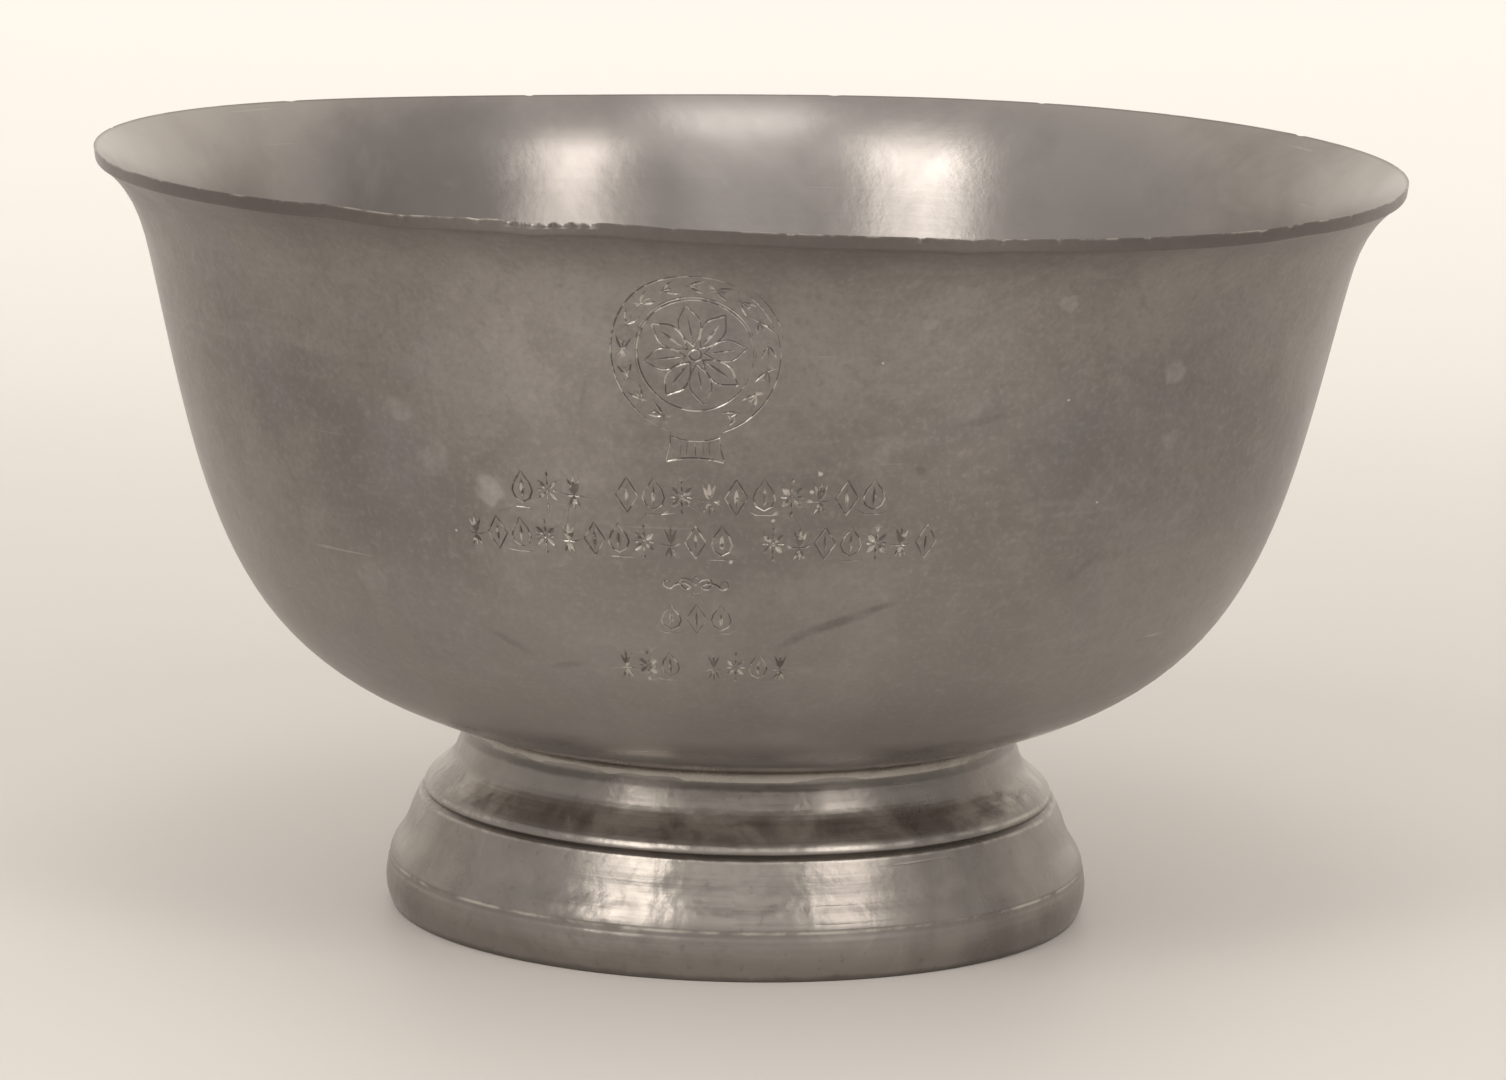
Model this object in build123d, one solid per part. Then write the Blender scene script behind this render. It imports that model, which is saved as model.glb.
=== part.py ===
"""Footed pewter presentation bowl: a spun bowl, a spun foot and the solder that joins them.

Millimetres. +Z is the axis of the bowl, and z = 0 is the surface that the foot stands on.
"""
import os

from build123d import *

# Driving dimensions
rim_radius = 76.2          # six inches across the rim
height = 88.9              # three and a half inches tall
bowl_wall = 1.25           # thickness of the spun bowl
rim_edge = 1.5             # height of the trimmed, upright edge of the rim
lip_lean = 57.0            # how far the lip leans out from upright at the rim, in degrees
base_radius = 41.4         # widest part of the foot
foot_wall = 1.2            # thickness of the spun foot
bowl_bottom = 18.2         # underside of the bowl on its axis, inside the foot
seam_radius = 32.3         # outside of the foot's neck, under the bowl
foot_top = 21.6            # level edge at the top of the foot
solder_film = 0.55         # solder between the foot's outer edge and the bowl
bead_drop = 0.95           # how far the solder beads run down the neck
bead_reach = 1.2           # how far they run out along the bowl
bead_rise = 0.45           # how much the bowl has risen there, on the outside
inner_wall_stations = 14   # places where the bowl's wall thickness is set off

# Outside of the bowl as (radius, height): a shallow bottom, a full belly,
# nearly straight sides and a lip that rolls outwards.
bowl_outline = [
    (0.0, bowl_bottom),
    (17.0, 18.9),
    (33.4, 22.5),
    (46.2, 27.8),
    (54.6, 34.7),
    (60.2, 43.3),
    (65.1, 57.0),
    (69.5, 75.6),
    (72.1, 83.2),
    (rim_radius - 0.2, height - rim_edge),
]

# Outside of the foot below the seam, down to its groove: an upright neck that
# spreads into a shoulder and rolls over to upright again above the groove.
shoulder_outline = [
    (seam_radius, 20.7),
    (32.65, 19.8),
    (33.45, 18.5),
    (34.25, 17.4),
    (35.1, 16.4),
    (36.15, 15.4),
    (36.9, 14.6),
    (37.15, 13.9),
]

# Below the groove: a skirt that flares to the top of the base band.
skirt_outline = [(37.6, 13.2), (38.45, 11.3), (39.2, 9.3), (39.9, 8.1), (40.6, 7.0), (41.0, 6.0)]

groove_bottom = (36.95, 13.6)
crease_bottom = (40.9, 5.4)
band_outline = [(41.2, 5.0), (base_radius, 3.4), (41.1, 1.2), (40.6, 0.0)]

# Inside of the hollow foot, from its standing edge up to the neck.
foot_inside_outline = [
    (39.5, 0.0),
    (39.7, 3.8),
    (38.2, 8.0),
    (37.0, 11.4),
    (35.7, 13.9),
    (33.7, 16.2),
    (32.3, 18.1),
    (seam_radius - foot_wall, 20.4),
]


def in_section(point):
    """Places a (radius, height) pair in the XZ plane."""
    radius, level = point
    return Vector(radius, 0, level)


def smooth(outline, tangents=()):
    """A smooth curve through an outline's points."""
    return Spline([in_section(point) for point in outline], tangents=tangents)


def spin(edges):
    """Closes the edges into a face and spins it about the bowl's axis."""
    return revolve(make_face(edges), axis=Axis.Z)


def set_off(curve, position, distance):
    """A point beside the curve, to the left of its direction of travel."""
    direction = curve % position
    return curve @ position + Vector(-direction.Z, 0, direction.X) * distance


def lip_direction():
    return Vector(0, 0, 1).rotate(Axis.Y, lip_lean)


def bowl_outside():
    level = Vector(1, 0, 0)
    return smooth(bowl_outline, tangents=(level, lip_direction()))


def make_bowl():
    outside = bowl_outside()
    stations = [station / inner_wall_stations for station in range(inner_wall_stations)]
    inner_points = [set_off(outside, station, bowl_wall) for station in stations]
    rim_arris = in_section((rim_radius, height))
    inner_points.append(rim_arris)
    inside = Spline(inner_points, tangents=(Vector(1, 0, 0), lip_direction()))
    axis_line = Line(outside @ 0, inside @ 0)
    rim_face = Line(outside @ 1, rim_arris)
    return spin([outside, rim_face, inside, axis_line])


def bowl_filled():
    """The bowl as a solid lump, for trimming what is soldered under it."""
    outside = bowl_outside()
    top = in_section((0, height))
    return spin([outside, Line(outside @ 1, top), Line(top, outside @ 0)])


def make_foot():
    shoulder = smooth(shoulder_outline)
    skirt = smooth(skirt_outline)
    band = smooth(band_outline)
    upright = Vector(0, 0, 1)
    inside = smooth(foot_inside_outline, tangents=(upright, upright))
    groove = in_section(groove_bottom)
    crease = in_section(crease_bottom)
    outer_top = in_section((seam_radius, foot_top))
    inner_top = in_section((seam_radius - foot_wall, foot_top))
    edges = [
        Line(outer_top, shoulder @ 0),
        shoulder,
        Line(shoulder @ 1, groove),
        Line(groove, skirt @ 0),
        skirt,
        Line(skirt @ 1, crease),
        Line(crease, band @ 0),
        band,
        Line(band @ 1, inside @ 0),
        inside,
        Line(inside @ 1, inner_top),
        Line(inner_top, outer_top),
    ]
    return spin(edges)


def make_solder_joint():
    """A saddle of solder on the foot's top edge, with a hollow bead in the corner on each side."""
    neck_inside = seam_radius - foot_wall
    level = foot_top + solder_film
    outer_foot = in_section((seam_radius, foot_top - bead_drop))
    inner_foot = in_section((neck_inside, foot_top - bead_drop))
    outer_bowl = in_section((seam_radius + bead_reach, level + bead_rise))
    inner_bowl = in_section((neck_inside - bead_reach, level))
    upright = Vector(0, 0, 1)
    edges = [
        TangentArc(outer_foot, outer_bowl, tangent=upright),
        Line(outer_bowl, inner_bowl),
        TangentArc(inner_foot, inner_bowl, tangent=upright),
        Line(inner_foot, in_section((neck_inside, foot_top))),
        Line(in_section((neck_inside, foot_top)), in_section((seam_radius, foot_top))),
        Line(in_section((seam_radius, foot_top)), outer_foot),
    ]
    return spin(edges) - bowl_filled()


def main():
    nodes = {
        "bowl": make_bowl(),
        "foot": make_foot(),
        "solder_joint": make_solder_joint(),
    }
    os.makedirs("parts", exist_ok=True)
    for name, solid in nodes.items():
        export_step(solid, f"parts/{name}.step")
        print(name, "volume", round(solid.volume, 1), "box", solid.bounding_box())


main()
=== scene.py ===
import math
import random

import bpy
import numpy as np
from mathutils import Matrix, Vector
from mathutils.geometry import delaunay_2d_cdt


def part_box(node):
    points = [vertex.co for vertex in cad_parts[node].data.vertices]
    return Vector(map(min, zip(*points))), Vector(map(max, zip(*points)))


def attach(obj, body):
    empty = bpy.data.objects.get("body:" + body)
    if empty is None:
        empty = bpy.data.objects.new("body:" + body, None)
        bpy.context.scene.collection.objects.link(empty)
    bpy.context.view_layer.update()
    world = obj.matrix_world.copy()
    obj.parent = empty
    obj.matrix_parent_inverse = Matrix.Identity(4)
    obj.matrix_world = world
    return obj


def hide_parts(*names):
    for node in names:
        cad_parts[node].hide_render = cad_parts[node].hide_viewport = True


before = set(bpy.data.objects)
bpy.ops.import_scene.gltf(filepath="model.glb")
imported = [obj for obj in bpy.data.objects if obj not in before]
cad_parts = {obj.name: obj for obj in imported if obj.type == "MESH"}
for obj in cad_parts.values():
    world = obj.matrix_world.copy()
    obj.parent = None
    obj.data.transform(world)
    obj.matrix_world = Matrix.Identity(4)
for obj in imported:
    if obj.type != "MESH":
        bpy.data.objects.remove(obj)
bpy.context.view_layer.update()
mm = 0.001
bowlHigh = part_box("bowl")[1]
print("frame loaded:", sorted(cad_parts))


# node helpers

def newMaterial(name):
    material = bpy.data.materials.new(name)
    material.use_nodes = True
    tree = material.node_tree
    return material, tree, tree.nodes["Principled BSDF"]


def node(tree, kind, inputs=None, **settings):
    made = tree.nodes.new(kind)
    for key, value in settings.items():
        setattr(made, key, value)
    for key, value in (inputs or {}).items():
        if isinstance(value, bpy.types.NodeSocket):
            tree.links.new(value, made.inputs[key])
        else:
            made.inputs[key].default_value = value
    return made


def calc(tree, operation, *terms, clamp=False):
    made = node(tree, "ShaderNodeMath", operation=operation, use_clamp=clamp)
    for slot, term in enumerate(terms):
        if isinstance(term, bpy.types.NodeSocket):
            tree.links.new(term, made.inputs[slot])
        else:
            made.inputs[slot].default_value = term
    return made.outputs[0]


def spread(tree, value, low, high, toLow=0.0, toHigh=1.0):
    # toLow where the value is low, toHigh where it is high, and an eased step between
    made = node(tree, "ShaderNodeMapRange", {"Value": value, "From Min": low, "From Max": high,
                                            "To Min": toLow, "To Max": toHigh})
    made.interpolation_type = "SMOOTHSTEP"
    return made.outputs["Result"]


def blendColour(tree, share, first, second):
    made = node(tree, "ShaderNodeMix", data_type="RGBA")
    for slot, term in ((0, share), (6, first), (7, second)):
        if isinstance(term, bpy.types.NodeSocket):
            tree.links.new(term, made.inputs[slot])
        elif slot == 0:
            made.inputs[slot].default_value = term
        else:
            made.inputs[slot].default_value = (*term, 1)
    return made.outputs[2]


def times(tree, first, second):
    return calc(tree, "MULTIPLY", first, second)


def plus(tree, first, second):
    return calc(tree, "ADD", first, second)


def tinted(tree, colour, paint, mask, low, high, amount):
    # lays the paint over the colour, more and more as the mask goes from low to high
    return blendColour(tree, times(tree, spread(tree, mask, low, high), amount), colour, paint)


def vector(tree, operation, **terms):
    # vector mathematics; the terms are a, b and size
    slots = {"a": 0, "b": 1, "size": "Scale"}
    given = {slots[name]: value for name, value in terms.items()}
    return node(tree, "ShaderNodeVectorMath", given, operation=operation).outputs[0]


def cloud(tree, where, scale, detail=4.0, roughness=0.55, distortion=0.0, seed=0.0):
    made = node(tree, "ShaderNodeTexNoise", {"Vector": where, "Scale": scale, "Detail": detail,
                                            "Roughness": roughness, "Distortion": distortion, "W": seed},
                noise_dimensions="4D")
    return made.outputs["Fac"]


def stretch(tree, where, scale, turn=(0, 0, 0)):
    return node(tree, "ShaderNodeMapping", {"Vector": where, "Scale": scale, "Rotation": turn}).outputs[0]


def hairScratches(tree, where, turn, seed, along=30.0, across=1400.0, keep=0.70):
    # fine broken lines, all leaning one way
    lines = stretch(tree, where, (along, across, 1), (0, 0, math.radians(turn)))
    thin = cloud(tree, lines, 1.0, 2.0, 0.4, 0.3, seed)
    patch = cloud(tree, where, 70.0, 2.0, 0.5, 0.0, seed + 3.1)
    return times(tree, spread(tree, thin, keep, keep + 0.05), spread(tree, patch, 0.5, 0.62))


# camera and stage

camera = {
    "place": (0.0, -0.690, 0.1623),
    "looksAt": (0.0012, 0.0, 0.0434),
    "lens": 142.25,
    "sensor": 36.0,
    "roll": 1.25,          # degrees, the picture leans clockwise
}


def makeCamera(values):
    data = bpy.data.cameras.new("camera")
    data.lens = values["lens"]
    data.sensor_width = values["sensor"]
    data.sensor_fit = "HORIZONTAL"
    data.clip_start = 0.01
    data.clip_end = 20
    shooter = bpy.data.objects.new("camera", data)
    place = Vector(values["place"])
    turn = (Vector(values["looksAt"]) - place).to_track_quat("-Z", "Y").to_matrix().to_4x4()
    turn = turn @ Matrix.Rotation(math.radians(values["roll"]), 4, "Z")
    shooter.matrix_world = Matrix.Translation(place) @ turn
    bpy.context.scene.collection.objects.link(shooter)
    bpy.context.scene.camera = shooter


makeCamera(camera)

studio = {
    "floorColour": (0.685, 0.657, 0.628),
    "glowColour": (1.0, 0.945, 0.875),
    "glow": 0.375,
    "floorBack": 0.40,       # where the floor starts to rise behind the bowl
    "coveRadius": 0.5,
    "coveSteps": 24,
    "glowFrom": 0.15,        # the board starts to glow here, and glows fully from glowTo
    "glowTo": 0.75,
    "backHeight": 2.2,
    "halfWidth": 3.0,
    "frontEdge": -3.0,
    "worldColour": (1.0, 0.955, 0.905),
    "worldStrength": 0.69,
}

# each lamp: azimuth from the front and elevation in degrees, distance, width and height in metres,
# watts and colour
lamps = {
    "leftBox": (-40, 36, 1.0, 0.31, 0.56, 3.1, (1.0, 0.95, 0.89)),
    "rightBox": (42, 36, 1.0, 0.27, 0.56, 2.25, (1.0, 0.94, 0.88)),
    "frontBox": (0, 34, 1.0, 0.42, 0.40, 0.45, (1.0, 0.96, 0.92)),
    "topBox": (0, 78, 1.0, 0.32, 0.55, 1.2, (1.0, 0.97, 0.94)),
}


def makeStage(values):
    material, tree, shader = newMaterial("paleBoard")
    shader.inputs["Base Color"].default_value = (*values["floorColour"], 1)
    shader.inputs["Roughness"].default_value = 0.5
    # the board glows towards the back, where a lamp out of sight washes it
    place = node(tree, "ShaderNodeTexCoord").outputs["Object"]
    back = node(tree, "ShaderNodeSeparateXYZ", {"Vector": place}).outputs["Y"]
    shader.inputs["Emission Color"].default_value = (*values["glowColour"], 1)
    wash = spread(tree, back, values["glowFrom"], values["glowTo"], 0.0, values["glow"])
    tree.links.new(wash, shader.inputs["Emission Strength"])
    # the board shows only its front, so it never hides the bowl from behind
    side = node(tree, "ShaderNodeNewGeometry").outputs["Backfacing"]
    clear = node(tree, "ShaderNodeBsdfTransparent").outputs[0]
    shown = node(tree, "ShaderNodeMixShader", {0: side, 1: shader.outputs[0], 2: clear})
    tree.links.new(shown.outputs[0], tree.nodes["Material Output"].inputs["Surface"])
    section = [(values["frontEdge"], 0.0), (values["floorBack"], 0.0)]
    radius = values["coveRadius"]
    for step in range(1, values["coveSteps"] + 1):
        a = math.radians(90 * step / values["coveSteps"])
        section.append((values["floorBack"] + radius * math.sin(a), radius * (1 - math.cos(a))))
    section.append((values["floorBack"] + radius, values["backHeight"]))
    half = values["halfWidth"]
    points = [(side * half, y, z) for y, z in section for side in (-1, 1)]
    faces = [(2 * i, 2 * i + 1, 2 * i + 3, 2 * i + 2) for i in range(len(section) - 1)]
    mesh = bpy.data.meshes.new("sweep")
    mesh.from_pydata(points, [], faces)
    mesh.polygons.foreach_set("use_smooth", [True] * len(faces))
    mesh.materials.append(material)
    sweep = bpy.data.objects.new("sweep", mesh)
    bpy.context.scene.collection.objects.link(sweep)


def makeLamp(name, azimuth, elevation, distance, width, height, watts, colour):
    data = bpy.data.lights.new(name, "AREA")
    data.shape = "RECTANGLE"
    data.size = width
    data.size_y = height
    data.energy = watts
    data.color = colour
    lamp = bpy.data.objects.new(name, data)
    a, e = math.radians(azimuth), math.radians(elevation)
    aim = Vector((0, 0, 0.06))
    away = Vector((math.sin(a) * math.cos(e), -math.cos(a) * math.cos(e), math.sin(e)))
    turn = away.to_track_quat("Z", "Y").to_matrix().to_4x4()
    lamp.matrix_world = Matrix.Translation(aim + away * distance) @ turn
    bpy.context.scene.collection.objects.link(lamp)


def makeWorld(values):
    world = bpy.data.worlds.new("studio")
    world.use_nodes = True
    back = world.node_tree.nodes["Background"]
    back.inputs["Color"].default_value = (*values["worldColour"], 1)
    back.inputs["Strength"].default_value = values["worldStrength"]
    bpy.context.scene.world = world


makeStage(studio)
for lampName, lampValues in lamps.items():
    makeLamp(lampName, *lampValues)
makeWorld(studio)
bpy.context.scene.view_settings.view_transform = "Standard"
print("camera, lamps and stage made")


# bowl

bowl = {
    # outside as (radius, height) in mm, the same turned shape as the CAD node
    "outline": [(0, 18.2), (17, 18.9), (33.4, 22.5), (46.2, 27.8), (54.6, 34.7), (60.2, 43.3),
                (65.1, 57.0), (69.5, 75.6), (72.1, 83.2), (76.0, 87.4)],
    "wall": 1.25,
    "lipLean": 57.0,
    "arrisRound": 0.22,
    "lipStart": 70.5,        # radius from which the inside eases out to the arris
    "samples": 1600,
    "rowGap": 2.1,           # mm between mesh rings
    "columns": 180,
    "rimColumns": 1440,
    # unevenness of the rim: waves round it as (count, cosine mm, sine mm)
    "rimWaves": [(0, -0.06, 0.0), (1, -0.197, -0.472), (2, -0.052, -0.414), (3, 0.352, 0.093),
                 (4, 0.074, -0.136), (5, 0.033, 0.022)],
    # bends in the rim as (degrees round, mm up, degrees wide)
    "rimBends": [(-29, -0.22, 4.0), (-11, 0.24, 4.0), (-17.5, -0.16, 1.4), (-36, 0.16, 3.0),
                 (17.5, -0.14, 2.0), (53, 0.14, 4.0)],
    # out-of-round of the wall as (count, mm, degrees)
    "wallWaves": [(2, 0.10, 20), (3, 0.07, 75), (5, 0.03, 10)],
    # heights between which the rim's waves and the wall's waves grow to their full size
    "rimWaveHeights": (58.0, 88.0),
    "wallWaveHeights": (24.0, 60.0),
    "nickReach": 0.75,       # mm of the section that a nick takes in, on each side of the arris
    "arrisInset": 0.15,      # mm from the middle of the arris to the end of its round
}


def clampedSpline(points, startSlope, endSlope, count):
    # smooth curve through the points, with the slope given at each end
    p = np.array(points, float)
    gaps = np.hypot(*np.diff(p, axis=0).T)
    knots = np.r_[0, np.cumsum(gaps)]
    n = len(p)
    left = np.eye(n)
    right = np.zeros((n, 2))
    right[0], right[-1] = startSlope, endSlope
    for i in range(1, n - 1):
        before, after = gaps[i - 1], gaps[i]
        left[i, i - 1:i + 2] = after, 2 * (before + after), before
        right[i] = 3 * (after * (p[i] - p[i - 1]) / before + before * (p[i + 1] - p[i]) / after)
    slopes = np.linalg.solve(left, right)
    t = np.linspace(0, knots[-1], count)
    k = np.clip(np.searchsorted(knots, t, "right") - 1, 0, n - 2)
    h = gaps[k][:, None]
    s = (t - knots[k])[:, None] / h
    return (p[k] * (1 + 2 * s) * (1 - s) ** 2 + slopes[k] * h * s * (1 - s) ** 2
            + p[k + 1] * s * s * (3 - 2 * s) + slopes[k + 1] * h * s * s * (s - 1))


def roundedCorner(before, corner, after, radius, steps=5):
    # points of a small round that takes the place of a sharp corner
    corner = np.array(corner, float)
    toBefore = (np.array(before, float) - corner)
    toAfter = (np.array(after, float) - corner)
    toBefore /= np.hypot(*toBefore)
    toAfter /= np.hypot(*toAfter)
    start, end = corner + toBefore * radius, corner + toAfter * radius
    made = []
    for step in range(steps + 1):
        t = step / steps
        made.append((1 - t) ** 2 * start + 2 * t * (1 - t) * corner + t * t * end)
    return made


def bowlSection(values):
    # outline of the cut wall: outside from the axis to the rim, over the edge, and back down inside
    lean = math.radians(values["lipLean"])
    outside = clampedSpline(values["outline"], (1, 0), (math.sin(lean), math.cos(lean)), values["samples"])
    slope = np.gradient(outside, axis=0)
    slope /= np.hypot(*slope.T)[:, None]
    setOff = outside + np.c_[-slope[:, 1], slope[:, 0]] * values["wall"]
    arris = np.array([bowlHigh.x / mm, bowlHigh.z / mm])
    start = values["lipStart"]
    share = np.clip((outside[:, 0] - start) / (outside[-1, 0] - start), 0, 1)[:, None] ** 2
    inside = setOff + (arris - setOff[-1]) * share
    inside[0, 0] = 0
    r = values["arrisRound"]
    back = 60                # samples this far back give the wall's direction at the rim
    lower = roundedCorner(outside[-back], outside[-1], arris, r)
    upper = roundedCorner(outside[-1], arris, inside[-back], r)
    outside = outside[np.hypot(*(outside - outside[-1]).T) > r * 1.05]
    keepInside = inside[np.hypot(*(inside - arris).T) > r * 1.05]
    line = np.vstack([outside, lower, upper, keepInside[::-1]])
    travel = np.r_[0, np.cumsum(np.hypot(*np.diff(line, axis=0).T))]
    rimStart = travel[len(outside)]
    rimEnd = travel[len(outside) + len(lower) + len(upper) - 1]
    return line, travel, rimStart, rimEnd


section, travel, rimStart, rimEnd = bowlSection(bowl)
wallRadius = 66.0            # mm along the unrolled wall are measured at this radius


def smoothStep(value, low, high):
    t = np.clip((value - low) / (high - low), 0, 1)
    return t * t * (3 - 2 * t)


def sectionAt(s):
    return np.interp(s, travel, section[:, 0]), np.interp(s, travel, section[:, 1])


# worn places on the edge of the rim as (degrees round, degrees wide, mm deep)
nicks = [
    (-28.6, 0.5, 0.10), (-24.5, 1.6, 0.07), (-22.0, 0.7, 0.12), (-19.4, 0.5, 0.26), (-18.4, 0.35, 0.18),
    (-17.4, 0.8, 0.24), (-16.2, 0.5, 0.34), (-14.9, 0.6, 0.30), (-13.6, 0.4, 0.22), (-12.6, 0.7, 0.30),
    (-10.2, 1.0, 0.05), (-6.0, 0.4, 0.05), (3.2, 0.35, 0.20), (8.0, 0.3, 0.05), (13.6, 0.4, 0.17),
    (20.4, 0.35, 0.17), (25.2, 0.3, 0.12), (33.6, 0.4, 0.16), (46.6, 0.6, 0.20), (50.4, 0.5, 0.14),
    (60.6, 0.4, 0.10), (-41.0, 0.5, 0.06), (-52.0, 0.4, 0.06), (84.0, 0.5, 0.10), (118.0, 0.7, 0.12),
    (151.0, 0.4, 0.10), (172.0, 0.6, 0.08), (-158.0, 0.5, 0.12), (-131.0, 0.8, 0.10), (-97.0, 0.5, 0.10),
]


def turnGap(angle, degrees):
    # shortest way round from one bearing to another, in degrees
    return (np.degrees(angle) - degrees + 180) % 360 - 180


def rimLift(angle):
    lift = np.zeros_like(angle)
    for count, cosine, sine in bowl["rimWaves"]:
        lift += cosine * np.cos(count * angle) + sine * np.sin(count * angle)
    for degrees, up, wide in bowl["rimBends"]:
        lift += up * np.exp(-(turnGap(angle, degrees) / wide) ** 2)
    return lift


def nickDepth(angle):
    depth = np.zeros_like(angle)
    for degrees, wide, deep in nicks:
        shape = np.clip(1 - np.abs(turnGap(angle, degrees)) / wide, 0, 1)
        depth = np.maximum(depth, deep * shape ** 0.7)
    return depth


def bowlSurface(angle, s):
    # a point of the bowl in mm, from the bearing and the way along the section
    radius, level = sectionAt(s)
    share = smoothStep(level, *bowl["rimWaveHeights"]) ** 1.6
    lift = rimLift(angle) * share
    out = np.zeros_like(angle)
    for count, amount, degrees in bowl["wallWaves"]:
        out += amount * np.cos(count * (angle - math.radians(degrees)))
    out *= smoothStep(level, *bowl["wallWaveHeights"])
    arris = rimEnd - bowl["arrisInset"]
    bite = 0.9 * nickDepth(angle) * np.clip(1 - np.abs(s - arris) / bowl["nickReach"], 0, 1)
    radius = np.maximum(radius + out * np.minimum(radius / 60, 1) - bite, 0)
    level = level + lift - bite
    return np.stack([radius * np.sin(angle), -radius * np.cos(angle), level], -1)


# engraving, in mm on the unrolled wall: x to the right at wallRadius, y up the section

cuts = []        # each is (points, half widths): one stroke of the graver


def stroke(points, width, taper=(1.0, 1.0)):
    # a cut of that width in mm, with its ends narrowed to the given shares
    pts = np.array(points, float)
    gaps = np.hypot(*np.diff(pts, axis=0).T)
    share = np.r_[0, np.cumsum(gaps)] / max(gaps.sum(), 1e-9)
    swell = np.interp(share, (0, 0.25, 0.75, 1), (taper[0], 1, 1, taper[1]))
    cuts.append((pts, width / 2 * swell))


def arc(cx, cy, rx, ry, start, end, steps):
    made = []
    for step in range(steps + 1):
        a = math.radians(start + (end - start) * step / steps)
        made.append((cx + rx * math.cos(a), cy + ry * math.sin(a)))
    return made


def placed(points, x, y, turn):
    c, s = math.cos(turn), math.sin(turn)
    return [(x + c * px - s * py, y + s * px + c * py) for px, py in points]


def towards(turn, reach):
    # a step of that length towards a bearing in degrees
    a = math.radians(turn)
    return reach * math.cos(a), reach * math.sin(a)


print("bowl section:", len(section), "points,", round(travel[-1], 1), "mm")


# where each part of the ornament sits on the unrolled wall
ornament = {
    "medal": {"x": -5.19, "y": 101.8, "outer": 9.05, "inner": 6.2, "leaves": 15},
    "tab": {"top": 92.5, "bottom": 89.9, "topHalf": 2.6, "bottomHalf": 3.05},
    # rows of marks: y is the middle of the row, tall is a mark's height, and empty places are left blank
    "rows": [
        {"y": 85.75, "left": -26.0, "right": 15.6, "tall": 4.3, "marks": 14, "empty": (3,), "lean": 0.5,
         "marksUsed": ("bud", "flower", "sheaf", "lozenge")},
        {"y": 80.35, "left": -32.2, "right": 21.9, "tall": 4.1, "marks": 19, "empty": (11,), "lean": 0.6,
         "marksUsed": ("sheaf", "lozenge", "bud", "flower")},
        {"y": 70.9, "left": -9.6, "right": -0.8, "tall": 4.0, "marks": 3, "empty": (), "lean": 0.1,
         "marksUsed": ("bud", "lozenge")},
        {"y": 64.35, "left": -15.4, "right": 6.3, "tall": 4.3, "marks": 8, "empty": (3,), "lean": 0.45,
         "marksUsed": ("sheaf", "flower", "bud")},
    ],
    "flourish": {"x": -5.19, "y": 75.2, "half": 3.6},
    "hair": 0.22,        # width of the thin cuts
    "cut": 0.64,         # width of the broad cuts
}


def chip(x, y, length, turn, broad, bow=0.0):
    # a leaf in one cut: it starts fine, swells and runs out to a point
    bends = [(0, 0), (0.25, 0.8), (0.5, 1), (0.75, 0.7), (1, 0)]
    line = [(length * share, bow * bend) for share, bend in bends]
    pts = np.array(placed(line, x, y, math.radians(turn)))
    cuts.append((pts, broad / 2 * np.array([0.12, 0.8, 1.0, 0.66, 0.08])))


def budMark(x, y, wide, tall, hair, cut):
    h = tall / 2
    for side in (-1, 1):
        reach = side * wide
        stroke([(x, y - h * 0.7), (x + reach * 0.30, y - h * 0.48), (x + reach * 0.42, y - h * 0.1),
                (x + reach * 0.32, y + h * 0.34), (x + reach * 0.13, y + h * 0.66), (x, y + h)],
               hair * 1.3, (0.8, 0.3))
    chip(x, y - h * 0.5, h * 1.05, 90, cut * 1.1)
    stroke([(x - wide * 0.3, y - h * 0.95), (x + wide * 0.3, y - h * 0.95)], hair * 1.6, (0.5, 0.5))


def flowerMark(x, y, wide, tall, hair, cut):
    size = min(wide, tall) * 0.5
    for petal in range(4):
        turn = 90 * petal + 45
        px, py = towards(turn, 0.28)
        chip(x + px, y + py, size * 0.95, turn, cut * 1.3)
        px, py = towards(45 - turn, 0.5)
        chip(x + px, y + py, size * 0.55, 45 - turn, cut * 0.6)
    stroke(arc(x, y, 0.17, 0.17, 0, 330, 8), hair * 0.8)
    for side in (-1, 1):
        chip(x, y + side * tall * 0.36, tall * 0.14, 90 * side, cut * 0.8)


def sheafMark(x, y, wide, tall, hair, cut):
    tie = y - tall * 0.1
    for lean in (-19, 0, 19):
        chip(x, tie, tall * (0.58 if lean == 0 else 0.52), 90 - lean, cut * (1.1 if lean == 0 else 0.9))
        chip(x, tie, tall * 0.38, -90 - lean * 1.3, cut * 0.75)
    stroke([(x - wide * 0.22, tie), (x + wide * 0.22, tie)], hair * 1.8, (0.6, 0.6))


def lozengeMark(x, y, wide, tall, hair, cut):
    high, half = tall * 0.47, wide * 0.44
    corners = [(x, y + high), (x + half, y), (x, y - high), (x - half, y)]
    for one, two in zip(corners, corners[1:] + corners[:1]):
        stroke([one, ((one[0] + two[0]) / 2, (one[1] + two[1]) / 2), two], hair * 1.3, (0.7, 0.7))
    chip(x, y - high * 0.55, high * 1.1, 90, cut)


marks = {"bud": budMark, "flower": flowerMark, "sheaf": sheafMark, "lozenge": lozengeMark}


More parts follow.
